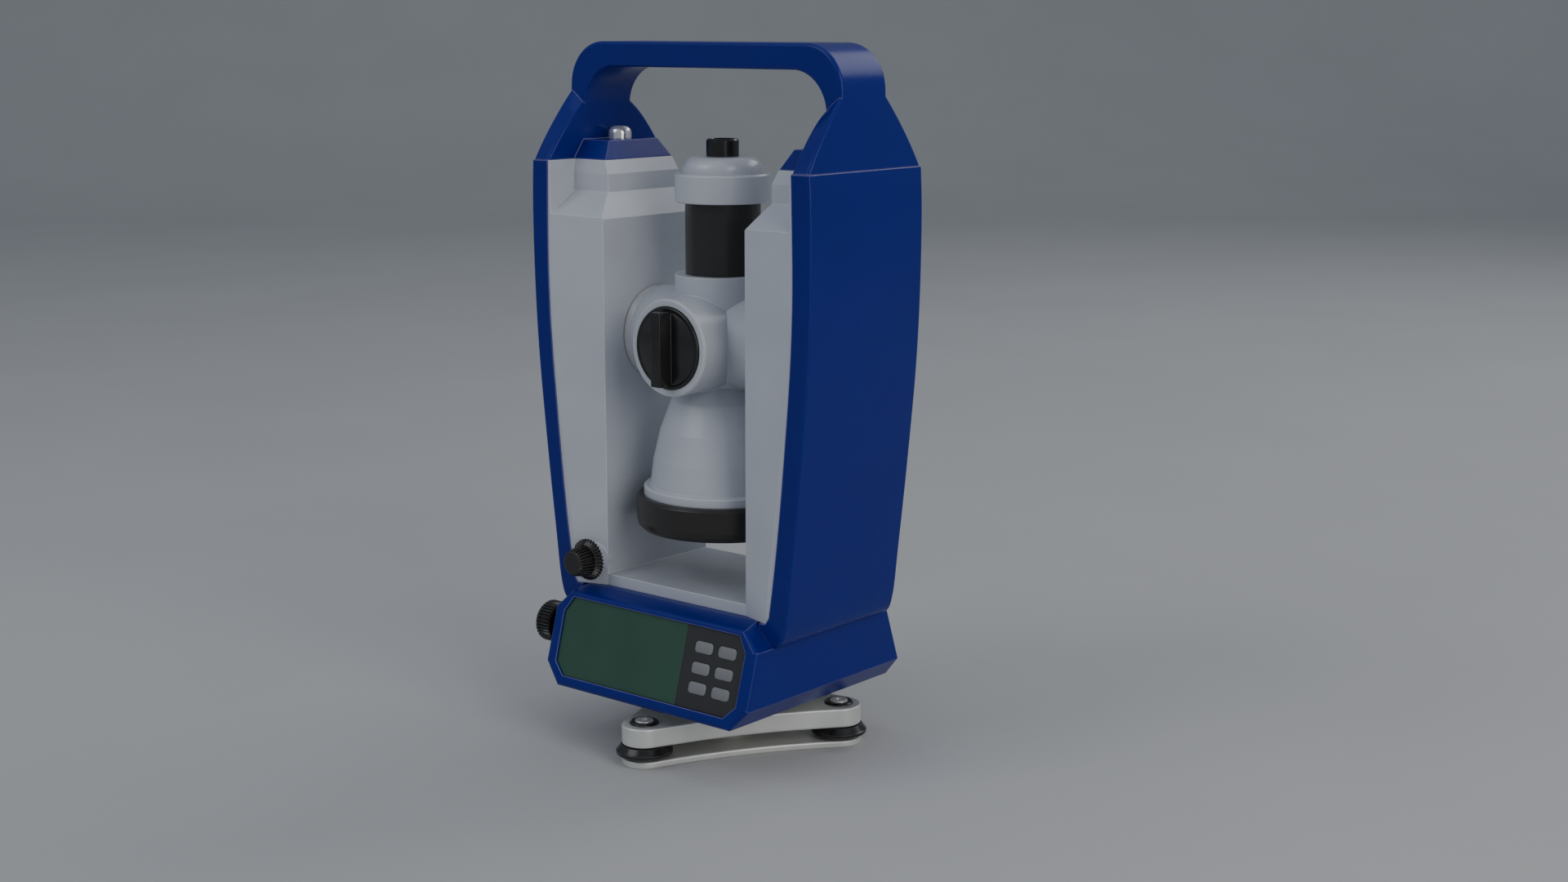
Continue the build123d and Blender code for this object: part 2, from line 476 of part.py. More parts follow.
def build_telescope():
    at = Location((0, 0, TRUNNION_Z))
    bell = turned([(0, FLANGE_Z1 - 1.2), (FLANGE_R, FLANGE_Z1 - 1.2), (FLANGE_R, FLANGE_Z1 - 0.8),
                   (FLANGE_R - 0.8, FLANGE_Z1), (36.2, FLANGE_Z1)]
                  + BELL_PROFILE[::-1] + [(BELL_PROFILE[0][0], 190.0), (0, 190.0)])
    bell += tube(FLANGE_R, 0, OBJECTIVE_Z1, FLANGE_Z1 - 1.0)
    solid = bell + tube(BODY_R, 0, 185, BARREL_Z0)
    solid += along_x(Cylinder(CROSS_R, 2 * ARM_X)).moved(at)
    nose = turned([(0, 0), (CROSS_R, 0), (CROSS_R, FRONT_TUBE_Y - 0.7), (CROSS_R - 0.7, FRONT_TUBE_Y),
                   (0, FRONT_TUBE_Y)])
    solid += along_front(nose).moved(at)
    # Interior: objective cone, cross cavity, cell guide and the recess for the focusing knob.
    solid -= turned([(0, 100), (36.5, 100), (36.5, 125.0), (32.5, 131.0), (29.5, 148), (16, 178), (0, 178)])
    solid -= tube(16, 0, 175, 206)
    solid -= tube(CELL_R + RUN, 0, 200, 240)
    cavity = along_front(tube(16, 0, 5, 35)).moved(at)
    solid -= cavity & block(-30, 30, -60, 60, 150, 207)
    solid -= along_front(tube(3.0 + RUN, 0, 20, 40)).moved(at)
    solid += along_front(tube(16.5, 3.0 + RUN, 29, 34)).moved(at)
    solid -= along_front(tube(19.8, 0, 36.4, 45)).moved(at)
    solid -= block(3.6, 8.4, -20.5, -9.0, 178.5, 225.5)
    solid -= along_x(Cylinder(TRUNNION_R, 110) - Cylinder(60, 60)).moved(at)
    yield "telescope_body", solid

    shaft = along_x(tube(TRUNNION_R, 0, 30, 60)).moved(at)
    yield "trunnion_shafts", Compound([shaft, mirrored_x(shaft)])
    ring = along_x(tube(22.9, TRUNNION_R, ARM_X, RING_X)).moved(at)
    yield "arm_rings", Compound([ring, mirrored_x(ring)])
    yield "vertical_circle", along_x(tube(30, TRUNNION_R, -56.0, -54.5)).moved(at)

    yield "objective_ring", turned(
        [(36.5, OBJECTIVE_Z0 + 0.4), (38.5, OBJECTIVE_Z0), (40.2, OBJECTIVE_Z0 + 0.4), (42.0, 109.2),
         (OBJECTIVE_R, 112.0), (OBJECTIVE_R, 122.4), (41.6, OBJECTIVE_Z1), (36.5, OBJECTIVE_Z1)])
    rim_z, back_z = 117.4, 122.6
    lens = revolve(make_face(Plane.XZ * Wire([
        Line((0, back_z), (0, 113.6)), ThreePointArc((0, 113.6), (18, 114.5), (35.6, rim_z)),
        Line((35.6, rim_z), (36.5, rim_z)), Line((36.5, rim_z), (36.5, back_z)),
        Line((36.5, back_z), (0, back_z))])), Axis.Z)
    yield "objective_lens", lens
    yield "barrel_tube", tube(BARREL_R, 14.0, BARREL_Z0, BARREL_Z1)
    yield "reticle", tube(14.0, 0, 252.0, 253.5)
    collar = turned([(14.0, BARREL_Z1), (COLLAR_R - 0.5, BARREL_Z1), (COLLAR_R, BARREL_Z1 + 0.5),
                     (COLLAR_R, COLLAR_Z1 - 0.8), (COLLAR_R - 0.8, COLLAR_Z1), (14.0, COLLAR_Z1)])
    yield "eyepiece_collar", collar
    dome = revolve(make_face(Plane.XZ * Wire([
        Line((9.6, COLLAR_Z1), (EYE_DOME_R, COLLAR_Z1)), Line((EYE_DOME_R, COLLAR_Z1), (EYE_DOME_R, 280.6)),
        ThreePointArc((EYE_DOME_R, 280.6), (17.1, 284.8), (12.4, EYE_DOME_Z1)),
        Line((12.4, EYE_DOME_Z1), (EYEPIECE_R - 1 + RUN, EYE_DOME_Z1)),
        Line((EYEPIECE_R - 1 + RUN, EYE_DOME_Z1), (EYEPIECE_R - 1 + RUN, 280.6)),
        Line((EYEPIECE_R - 1 + RUN, 280.6), (9.6, COLLAR_Z1))])), Axis.Z)
    yield "eyepiece_dome", dome
    ring = turned([(EYEPIECE_R, 286.6), (EYEPIECE_R, 294.2), (7.1, EYEPIECE_Z1), (6.0, EYEPIECE_Z1),
                   (5.0, 293.6), (4.6, 293.6), (4.6, 280.8), (EYEPIECE_R - 1, 280.8),
                   (EYEPIECE_R - 1, 286.6)])
    yield "eyepiece_ring", ring
    yield "eyepiece_lens", tube(4.6, 0, 288.0, 292.4)

    knob = along_front(turned([(3.0, 36.5), (19.6, 36.5), (19.6, 40.1), (19.1, 40.6), (0, 40.6), (0, 39.5),
                               (3.0, 39.5)])).moved(at)
    bar = along_front(Pos(0, 0, 44.4) * Box(6.0, 36.2, 8.2)).moved(at)
    bar &= along_front(tube(18.6, 0, 39, 50)).moved(at)
    bar = fillet(bar.edges().filter_by(lambda e: e.center().Y < -48), 0.6)
    yield "focus_knob", knob + bar
    teeth = gear_points(PINION_TEETH, PINION_PITCH_R, 0.42, 0.6, 0.02)
    pinion = extrude(make_face(Polyline(*teeth, close=True)), 5, dir=(0, 0, 1))
    pinion = Rot(0, 0, 180 / PINION_TEETH) * pinion
    yield "focus_shaft", along_front(Pos(0, 0, 14.2) * pinion + tube(3.0, 0, 19, 39.5)).moved(at)

    pitch = 2 * math.pi * PINION_PITCH_R / PINION_TEETH
    rack = [(7.8, 187.5), (7.8, 216.0), (4.75, 216.0)]
    count = int(36 / pitch / 2)
    for i in range(count, -count - 1, -1):
        z = TRUNNION_Z + i * pitch
        if 188.3 < z < 214.5:
            rack += [(4.75, z + 0.30 * pitch), (3.72, z + 0.10 * pitch),
                     (3.72, z - 0.10 * pitch), (4.75, z - 0.30 * pitch)]
    rack.append((4.75, 187.5))
    bar = front_prism(rack, -19.2, -14.2) + block(4.75, 7.8, -14.3, -9.6, 206.0, 216.0)
    cell = tube(CELL_R, 9.5, 206, 226)
    yield "focus_cell", cell + bar - tube(9.5, 0, 190, 240)
    yield "focus_lens", tube(9.5, 0, 212, 219)


# ---- Inner electronics ---------------------------------------------------------------------
def build_inner():
    low = block(-6, 6, 30, 44, 31.2, 39.0) - block(-7, 7, 29, 35, 32.8, 36.0)
    yield "horizontal_read_head", low
    side = block(-60.0, -INNER_X - 3, -6, 6, 224.5, 238.0) - block(-57.2, -53.3, -7, 7, 224, 230.2)
    yield "vertical_read_head", side
    pack = block(INNER_X + 3, 67.5, -26, 26, 86, 158)
    yield "battery_pack", fillet(pack.edges().filter_by(Axis.Z), 3)


os.makedirs("parts", exist_ok=True)
for builder in (build_base, build_housing, build_upper, build_knobs, build_telescope, build_inner):
    for name, shape in builder():
        export_step(shape, f"parts/{name}.step")
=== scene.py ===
import bpy
import bmesh
import json
import math
from mathutils import Matrix, Vector


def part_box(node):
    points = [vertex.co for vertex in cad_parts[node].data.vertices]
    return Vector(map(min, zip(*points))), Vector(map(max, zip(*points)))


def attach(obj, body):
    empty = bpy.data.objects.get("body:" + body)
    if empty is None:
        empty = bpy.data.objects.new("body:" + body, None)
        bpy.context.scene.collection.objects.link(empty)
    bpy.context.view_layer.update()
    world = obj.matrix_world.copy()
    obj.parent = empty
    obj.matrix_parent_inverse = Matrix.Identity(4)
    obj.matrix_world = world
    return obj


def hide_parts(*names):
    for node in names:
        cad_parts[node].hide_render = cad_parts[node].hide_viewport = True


# Looks of the surveying instrument: materials for the CAD nodes, finer knobs, keys and screws in
# place of the plain CAD ones, and a studio with a pale floor. Lengths are in metres, so sizes
# given in millimetres carry the factor MM.

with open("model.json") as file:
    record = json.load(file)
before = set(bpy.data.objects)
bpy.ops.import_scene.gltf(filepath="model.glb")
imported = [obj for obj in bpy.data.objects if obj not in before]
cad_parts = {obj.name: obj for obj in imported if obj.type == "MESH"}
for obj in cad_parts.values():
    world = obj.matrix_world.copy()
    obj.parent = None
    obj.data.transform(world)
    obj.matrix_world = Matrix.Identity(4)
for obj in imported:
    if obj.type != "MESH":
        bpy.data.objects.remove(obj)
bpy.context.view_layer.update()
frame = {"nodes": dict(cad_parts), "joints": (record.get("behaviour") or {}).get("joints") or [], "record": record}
nodes = frame["nodes"]
record = frame["record"]
MM = 0.001

CAMERA_PLACE = (0.68815, -0.78081, 0.35062)
CAMERA_ANGLES = (79.025, 0.0, 39.788)
LENS, SENSOR = 50.0, 36.0
AIM_HEIGHT = 0.17            # the studio lights point at the middle of the instrument

KNOB_BORE = 2.06             # clears the tangent knobs' shafts
FRONT_RING, SIDE_RING = 3.8, 6.5     # thickness of the clamp rings
RIM, RIB = 0.35, 1.3         # chamfer at a ring's edge and depth of the ribs
KEY_SIZE, KEY_CORNER = (10.8, 5.6), 1.8      # width and height across the slope, corner radius
KEY_FLANGE, KEY_LIP, KEY_GAP = 0.8, 0.7, 0.1     # flange's thickness and overhang, gap behind it
KEY_TOTAL, KEY_ROUND = 3.1, 0.75
DOME_R, SHANK_R, SHANK_LENGTH = 5.7, 2.4, 12.0       # domed screws of the handle
BAR_SIZE, BAR_CORNER, BAR_ROUND = (6.0, 35.2), 0.7, 0.5      # finger bar of the focusing knob


# ---- Node helpers --------------------------------------------------------------------------
def add(tree, kind, inputs=None, **settings):
    """Adds a shader node with the given input values and settings."""
    made = tree.nodes.new("ShaderNode" + kind)
    for key, value in settings.items():
        setattr(made, key, value)
    for key, value in (inputs or {}).items():
        made.inputs[key].default_value = value
    return made


def noise(tree, coords, size, detail=2.0, rough=0.5):
    """Noise whose patches are about size millimetres across; gives its value socket."""
    made = add(tree, "TexNoise", {"Scale": 1.0 / (size * MM), "Detail": detail, "Roughness": rough})
    tree.links.new(coords, made.inputs["Vector"])
    return made.outputs["Fac"]


def spread(tree, value, low, high, start=0.3, end=0.7):
    """Maps start..end of a value socket to low..high."""
    made = add(tree, "MapRange", {"From Min": start, "From Max": end, "To Min": low, "To Max": high})
    tree.links.new(value, made.inputs["Value"])
    return made.outputs["Result"]


def blend(tree, factor, first, second):
    """Mixes two colours, each a socket or a tuple."""
    made = add(tree, "Mix", data_type="RGBA")
    tree.links.new(factor, made.inputs[0])
    for socket, color in ((made.inputs[6], first), (made.inputs[7], second)):
        if isinstance(color, tuple):
            socket.default_value = (*color, 1.0)
        else:
            tree.links.new(color, socket)
    return made.outputs[2]


def product(tree, first, second):
    """Multiplies two values, each a socket or a number."""
    made = add(tree, "Math", operation="MULTIPLY")
    for socket, value in zip(made.inputs, (first, second)):
        if isinstance(value, float):
            socket.default_value = value
        else:
            tree.links.new(value, socket)
    return made.outputs[0]


def shade(color, amount):
    """The colour made lighter or darker by a factor."""
    return tuple(min(max(c * amount, 0.0), 1.0) for c in color)


# ---- Materials -----------------------------------------------------------------------------
def surface(name, color, rough, metallic=0.0, coat=0.0, patch=18.0, mottle=0.06, haze=0.05,
            grain=0.5, relief=0.15, stretch=(1.0, 1.0, 1.0), edge=0.7, edge_wear_and_highlight=None, edge_wear_and_highlight_amount=0.3, level=0.5):
    """Finish with mottled colour, uneven gloss, fine grain, and softened edges painted lighter: partly wear,
    partly a painted highlight.
    """
    material = bpy.data.materials.new("look_" + name)
    material.use_nodes = True
    tree = material.node_tree
    shader = tree.nodes["Principled BSDF"]
    link = tree.links.new
    place = add(tree, "TexCoord").outputs["Object"]
    scaled = add(tree, "Mapping", {"Scale": stretch})
    link(place, scaled.inputs["Vector"])
    coords = scaled.outputs["Vector"]

    body = blend(tree, spread(tree, noise(tree, place, patch, 3.0), 0.0, 1.0),
                 shade(color, 1.0 - mottle), shade(color, 1.0 + mottle))
    rounded = add(tree, "Bevel", {"Radius": edge * MM}, samples=8)
    facing = add(tree, "VectorMath", operation="DOT_PRODUCT")
    link(add(tree, "NewGeometry").outputs["Normal"], facing.inputs[0])
    link(rounded.outputs["Normal"], facing.inputs[1])
    # Edges found by the bevel normal are painted lighter in the edge colour: partly wear, partly a painted
    # highlight where light would glint on the rounding.
    rim = spread(tree, facing.outputs["Value"], 1.0, 0.0, 0.93, 0.998)
    edge_wear_and_highlight_mask = product(tree, rim, spread(tree, noise(tree, place, 9.0, 2.0), 0.65, 1.0))
    link(blend(tree, product(tree, edge_wear_and_highlight_mask, edge_wear_and_highlight_amount), body, edge_wear_and_highlight or shade(color, 1.6)),
         shader.inputs["Base Color"])

    gloss = spread(tree, noise(tree, place, 9.0, 4.0), rough - haze, rough + haze)
    link(gloss, shader.inputs["Roughness"])
    bump = add(tree, "Bump", {"Strength": relief, "Distance": 0.05 * MM})
    link(noise(tree, coords, grain, 2.0), bump.inputs["Height"])
    link(rounded.outputs["Normal"], bump.inputs["Normal"])
    link(bump.outputs["Normal"], shader.inputs["Normal"])
    shader.inputs["Metallic"].default_value = metallic
    shader.inputs["Coat Weight"].default_value = coat
    shader.inputs["Coat Roughness"].default_value = 0.12
    shader.inputs["Specular IOR Level"].default_value = level
    return material


def paint(name, color, edge_wear_and_highlight, edge_wear_and_highlight_amount=0.6, rough=0.3, edge=0.9, level=0.5):
    """Glossy sprayed enamel with a slight orange peel; its pale edge colour is a painted highlight."""
    return surface(name, color, rough, patch=30.0, mottle=0.035, haze=0.01,
                   grain=1.3, relief=0.015, edge=edge, edge_wear_and_highlight=edge_wear_and_highlight, edge_wear_and_highlight_amount=edge_wear_and_highlight_amount, level=level)


def moulded(name, color, rough, edge_wear_and_highlight=None, grain=0.35, relief=0.2, edge_wear_and_highlight_amount=0.25, edge=0.5):
    """Moulded plastic with a fine spark-eroded texture."""
    return surface(name, color, rough, patch=25.0, mottle=0.05, haze=0.05, grain=grain,
                   relief=relief, edge=edge, edge_wear_and_highlight=edge_wear_and_highlight, edge_wear_and_highlight_amount=edge_wear_and_highlight_amount)


def metal(name, color, rough, grain=0.4, relief=0.2, stretch=(1.0, 1.0, 1.0), mottle=0.05, edge=0.5,
          share=1.0):
    """Bare or oxidised metal; a share under 1 looks chalkier."""
    return surface(name, color, rough, metallic=share, patch=14.0, mottle=mottle, haze=0.06, grain=grain,
                   relief=relief, stretch=stretch, edge=edge, edge_wear_and_highlight=shade(color, 1.25), edge_wear_and_highlight_amount=0.5)


def optical_glass():
    """Clear lens glass with a thin anti-reflection film."""
    material = surface("lens_glass", (0.93, 0.96, 1.0), 0.03, patch=40.0, mottle=0.01, haze=0.01,
                       relief=0.01, edge=0.3, edge_wear_and_highlight_amount=0.0)
    shader = material.node_tree.nodes["Principled BSDF"]
    shader.inputs["Transmission Weight"].default_value = 0.9
    shader.inputs["IOR"].default_value = 1.52
    shader.inputs["Thin Film Thickness"].default_value = 330.0
    shader.inputs["Thin Film IOR"].default_value = 1.38
    return material


def liquid_crystal():
    """Dark green display with broad soft patches."""
    return surface("display_green", (0.024, 0.080, 0.051), 0.38, level=0.45, patch=45.0, mottle=0.1,
                   haze=0.03, grain=0.9, relief=0.03, edge=0.4, edge_wear_and_highlight=(0.1, 0.2, 0.15), edge_wear_and_highlight_amount=0.2)


def circuit_board():
    """Green board with lighter traces under the lacquer."""
    material = surface("circuit_board", (0.01, 0.10, 0.04), 0.35, coat=0.4, patch=6.0, mottle=0.3,
                       grain=0.6, relief=0.3, edge_wear_and_highlight=(0.5, 0.35, 0.12), edge_wear_and_highlight_amount=0.3)
    tree = material.node_tree
    shader = tree.nodes["Principled BSDF"]
    body = shader.inputs["Base Color"].links[0].from_socket
    tracks = add(tree, "TexVoronoi", {"Scale": 1.0 / (2.6 * MM)}, feature="DISTANCE_TO_EDGE",
                 distance="CHEBYCHEV")
    tree.links.new(add(tree, "TexCoord").outputs["Object"], tracks.inputs["Vector"])
    lines = spread(tree, tracks.outputs["Distance"], 1.0, 0.0, 0.03, 0.07)
    tree.links.new(blend(tree, lines, body, (0.03, 0.2, 0.09)), shader.inputs["Base Color"])
    return material


# The two edge colours below are painted highlights: pale colours put on the paint's softened edges where light
# would glint.
BLUE, BLUE_EDGE_HIGHLIGHT = (0.0, 0.0095, 0.19), (0.30, 0.27, 0.52)
WHITE, WHITE_EDGE_HIGHLIGHT = (0.52, 0.54, 0.59), (0.97, 0.95, 0.92)
BLACK = (0.014, 0.0135, 0.013)


def make_materials():
    """One material per slot of the record; the imported ones already have the slots' names."""
    steel = (0.74, 0.735, 0.72)
    made = [
        metal("anodised_aluminium", (0.72, 0.725, 0.69), 0.42, grain=0.3, relief=0.08, edge=0.7, share=0.5),
        metal("machined_steel", steel, 0.3, grain=0.5, relief=0.15, stretch=(1.0, 1.0, 8.0), share=0.55),
        metal("polished_steel", (0.90, 0.89, 0.87), 0.16, grain=1.5, relief=0.02, mottle=0.02, share=0.7),
        metal("brass", (0.66, 0.46, 0.18), 0.3, grain=0.5, relief=0.2),
        paint("blue_casting", BLUE, BLUE_EDGE_HIGHLIGHT, level=0.28),
        paint("blue_plastic", BLUE, BLUE_EDGE_HIGHLIGHT, rough=0.28, level=0.28),
        paint("white_casting", WHITE, WHITE_EDGE_HIGHLIGHT, edge=0.6),
        paint("white_plastic", WHITE, WHITE_EDGE_HIGHLIGHT, rough=0.25, edge=0.5, level=0.6),
        # The black plastic's pale edge colour is a painted highlight on the rib crests and edges of the knobs.
        moulded("black_plastic", BLACK, 0.24, edge_wear_and_highlight=(0.3, 0.29, 0.28), edge_wear_and_highlight_amount=0.7, edge=0.2, relief=0.1),
        surface("black_aluminium", (0.020, 0.0185, 0.016), 0.26, metallic=0.0, patch=30.0, mottle=0.04,
                haze=0.02, grain=0.3, relief=0.03, edge_wear_and_highlight=(0.2, 0.19, 0.18), edge_wear_and_highlight_amount=0.4, level=0.6),
        moulded("black_rubber", (0.018, 0.0165, 0.0145), 0.33, edge_wear_and_highlight=(0.09, 0.085, 0.08), grain=0.5,
                relief=0.25, edge=0.8),
        liquid_crystal(),
        moulded("keypad_grey", (0.022, 0.0225, 0.024), 0.5, grain=0.5, relief=0.4),
        moulded("key_grey", (0.21, 0.215, 0.225), 0.42, edge_wear_and_highlight=(0.45, 0.45, 0.46), grain=0.4, relief=0.2),
        optical_glass(),
        circuit_board(),
        moulded("battery_case", (0.05, 0.05, 0.055), 0.5),
    ]
    return {material.name.removeprefix("look_"): material for material in made}


materials = make_materials()
slot_of = {part["node"]: part["material_slot"] for part in record["subparts"]}
for name, thing in nodes.items():
    thing.data.materials.clear()
    thing.data.materials.append(materials[slot_of[name]])


# ---- Mesh helpers --------------------------------------------------------------------------
def piece(name, mesh, body, slot, replaced):
    """Puts a mesh in the scene as a piece that rides on a body and stands for CAD nodes."""
    thing = bpy.data.objects.new(name, mesh)
    bpy.context.scene.collection.objects.link(thing)
    mesh.materials.append(materials[slot])
    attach(thing, body)
    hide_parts(*replaced)


def sweep_rings(bm, rings, closed):
    """Joins rings of vertices; a ring of one vertex is a pole."""
    pairs = list(zip(rings, rings[1:]))
    if closed:
        pairs.append((rings[-1], rings[0]))
    for low, high in pairs:
        count = max(len(low), len(high))
        for k in range(count):
            following = (k + 1) % count
            corners = [low[k % len(low)], low[following % len(low)],
                       high[following % len(high)], high[k % len(high)]]
            bm.faces.new(list(dict.fromkeys(corners)))


def ribbed(bm, rows, ribs, place, closed=False, steps=6):
    """Turned shape; rows are (radius, height, rib depth) and every rib has a pointed crest."""
    count = ribs * steps
    rings = []
    for radius, height, depth in rows:
        if radius == 0:
            rings.append([bm.verts.new(place @ Vector((0, 0, height)))])
            continue
        ring = []
        for k in range(count):
            valley = abs(2.0 * (k % steps) / steps - 1.0)
            r = radius - depth * (1.0 - (1.0 - valley) ** 0.8)
            angle = 2 * math.pi * k / count
            ring.append(bm.verts.new(place @ Vector((r * math.cos(angle), r * math.sin(angle), height))))
        rings.append(ring)
    sweep_rings(bm, rings, closed)


def finished(bm, name, smooth=40.0):
    """Turns a bmesh into a mesh with outward faces, smooth below the given angle."""
    bmesh.ops.recalc_face_normals(bm, faces=bm.faces)
    mesh = bpy.data.meshes.new(name)
    bm.to_mesh(mesh)
    bm.free()
    mesh.shade_smooth()
    mesh.set_sharp_from_angle(angle=math.radians(smooth))
    return mesh


def centre(node):
    """Middle of a CAD node's box."""
    low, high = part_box(node)
    return (Vector(low) + Vector(high)) / 2


def extent(node, direction):
    """How low and how high a CAD node reaches along a direction."""
    along = [direction.dot(vertex.co) for vertex in nodes[node].data.vertices]
    return min(along), max(along)


# ---- Knobs ---------------------------------------------------------------------------------
def knob_frames():
    """Frames with +Z out of each knob: the front pair along -Y, the side pair along -X."""
    front, side = centre("vertical_tangent_knob"), centre("horizontal_tangent_knob")
    along_front = Matrix.Translation((front.x, 0, front.z)) @ Matrix.Rotation(math.pi / 2, 4, "X")
    along_side = Matrix.Translation((0, side.y, side.z)) @ Matrix.Rotation(-math.pi / 2, 4, "Y")
    return along_front, along_side


def ring_rows(near, far, radius):
    """Outline of a knurled clamp ring with chamfered edges."""
    bore, rim, rib = KNOB_BORE * MM, RIM * MM, RIB * MM
    return [(bore, near, 0), (radius - rim, near, rib), (radius, near + rim, rib),
            (radius, far - rim, rib), (radius - rim, far, rib), (bore, far, 0)]


def cone_rows(near, far, radius):
    """Outline of the front clamp ring, whose outer half narrows towards the tangent knob."""
    bore, rim, rib = KNOB_BORE * MM, RIM * MM, RIB * MM
    return [(bore, near, 0), (radius - rim, near, rib), (radius, near + rim, rib),
            (radius, near + 1.9 * MM, rib), (radius - 0.6 * MM, near + 2.3 * MM, rib),
            (8.3 * MM, far, 1.0 * MM), (bore, far, 0)]


def taper_rows(near, far, radius):
    """Outline of the front tangent knob, narrowing to a flat face."""
    rim, rib = RIM * MM, RIB * MM
    return [(0, near, 0), (radius - rim, near, rib), (radius, near + rim, rib),
            (6.5 * MM, far - 1.0 * MM, 0.95 * MM), (6.1 * MM, far - 0.35 * MM, 0.6 * MM),
            (5.5 * MM, far, 0), (4.6 * MM, far - 0.06 * MM, 0), (0, far - 0.08 * MM, 0)]


def drum_rows(near, far, radius):
    """Outline of the side tangent knob, straight with a rounded end."""
    rim, rib = RIM * MM, RIB * MM
    return [(0, near, 0), (radius - rim, near, rib), (radius, near + rim, rib),
            (radius, far - 0.8 * MM, rib), (radius - 0.25 * MM, far - 0.35 * MM, 0.7 * rib),
            (radius - 1.0 * MM, far, 0), (radius - 2.2 * MM, far - 0.06 * MM, 0),
            (0, far - 0.08 * MM, 0)]


def build_knobs():
    """The four knobs; each is as wide, and reaches as far out, as the CAD node it stands for."""
    along_front, along_side = knob_frames()
    specs = (
        ("vertical_clamp", along_front, 1, 34, cone_rows, FRONT_RING),
        ("vertical_tangent", along_front, 1, 26, taper_rows, None),
        ("horizontal_clamp", along_side, 0, 26, ring_rows, SIDE_RING),
        ("horizontal_tangent", along_side, 0, 36, drum_rows, None),
    )
    for body, place, axis, ribs, outline, thickness in specs:
        node = body + "_knob"
        low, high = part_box(node)
        other = 1 - axis
        radius = (high[other] - low[other]) / 2
        far = -low[axis]
        near = far - thickness * MM if thickness else -high[axis]
        bm = bmesh.new()
        ribbed(bm, outline(near, far, radius), ribs, place, closed=bool(thickness))
        if thickness:
            bore, wall = KNOB_BORE * MM, 3.5 * MM
            sleeve = [(bore, near - 6.0 * MM, 0), (wall, near - 6.0 * MM, 0),
                      (wall, near + 0.3 * MM, 0), (bore, near + 0.3 * MM, 0)]
            ribbed(bm, sleeve, 8, place, closed=True)
        piece(body + "_grip", finished(bm, body + "_grip"), body, "black_plastic", [node])


# ---- Keys ----------------------------------------------------------------------------------
def rounded_outline(width, height, radius, steps=5):
    """Corner points of a rounded rectangle, counter-clockwise."""
    points = []
    for k, (sx, sy) in enumerate(((1, 1), (-1, 1), (-1, -1), (1, -1))):
        for i in range(steps + 1):
            angle = math.pi / 2 * (k + i / steps)
            points.append((sx * (width / 2 - radius) + radius * math.cos(angle),
                           sy * (height / 2 - radius) + radius * math.sin(angle)))
    return points


def build_keys():
    """Six key caps: a flange behind the panel, straight sides and a softly rounded top."""
    press = next(j for j in frame["joints"] if j["name"] == "key_1_press")
    out = -Vector(press["axis"])
    across = Vector((1, 0, 0))
    up = out.cross(across)
    turn = Matrix((across, up, out)).transposed().to_4x4()
    width, height = (size * MM for size in KEY_SIZE)
    flange, lip, gap = KEY_FLANGE * MM, KEY_LIP * MM, KEY_GAP * MM
    total, rounding = KEY_TOTAL * MM, KEY_ROUND * MM
    rows = [(lip, gap), (lip, flange), (0.0, flange), (0.0, total - rounding)]
    for k in range(1, 6):
        angle = math.pi / 2 * k / 5
        rows.append((-rounding * (1 - math.cos(angle)),
                     total - rounding + 0.55 * MM * math.sin(angle)))
    rows += [(-1.6 * MM, total - 0.12 * MM), (-2.5 * MM, total - 0.03 * MM)]

    def foot_of(node):
        """Middle of the back of a key."""
        foot = out * extent(node, out)[0]
        for axis in (across, up):
            foot += axis * (sum(extent(node, axis)) / 2)
        return foot

    for i in range(1, 7):
        node = f"key_{i}"
        place = Matrix.Translation(foot_of(node)) @ turn
        bm = bmesh.new()
        rings = []
        for grow, z in rows:
            corner = max(KEY_CORNER * MM + grow, 0.12 * MM)
            outline = rounded_outline(width + 2 * grow, height + 2 * grow, corner)
            rings.append([bm.verts.new(place @ Vector((x, y, z))) for x, y in outline])
        sweep_rings(bm, rings, False)
        bm.faces.new(rings[0])
        bm.faces.new(rings[-1])
        piece(f"key_cap_{i}", finished(bm, f"key_cap_{i}", 50.0), node, "key_grey", [node])


# ---- Domed handle screws -------------------------------------------------------------------
def build_screws():
    """Shank and flattened dome of the two screws on the handle's feet."""
    low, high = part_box("handle_screws")
    ledge = low[2] + SHANK_LENGTH * MM
    radius, shank = DOME_R * MM, SHANK_R * MM
    reach = (high[0] - low[0]) / 2 - radius
    rise = high[2] - ledge
    bm = bmesh.new()
    for side in (-1, 1):
        place = Matrix.Translation((side * reach, 0, 0))
        rows = [(0, low[2], 0), (shank, low[2], 0), (shank, ledge, 0), (radius, ledge, 0)]
        for k in range(16):
            angle = math.pi / 2 * k / 16
            height = ledge + rise * (0.42 + 0.58 * math.sin(angle))
            rows.append((radius * math.cos(angle) ** 0.55, height, 0))
        rows.append((0, high[2], 0))
        ribbed(bm, rows, 16, place, steps=4)
    dome = finished(bm, "dome_screws", 60.0)
    piece("dome_screws", dome, "alidade", "polished_steel", ["handle_screws"])


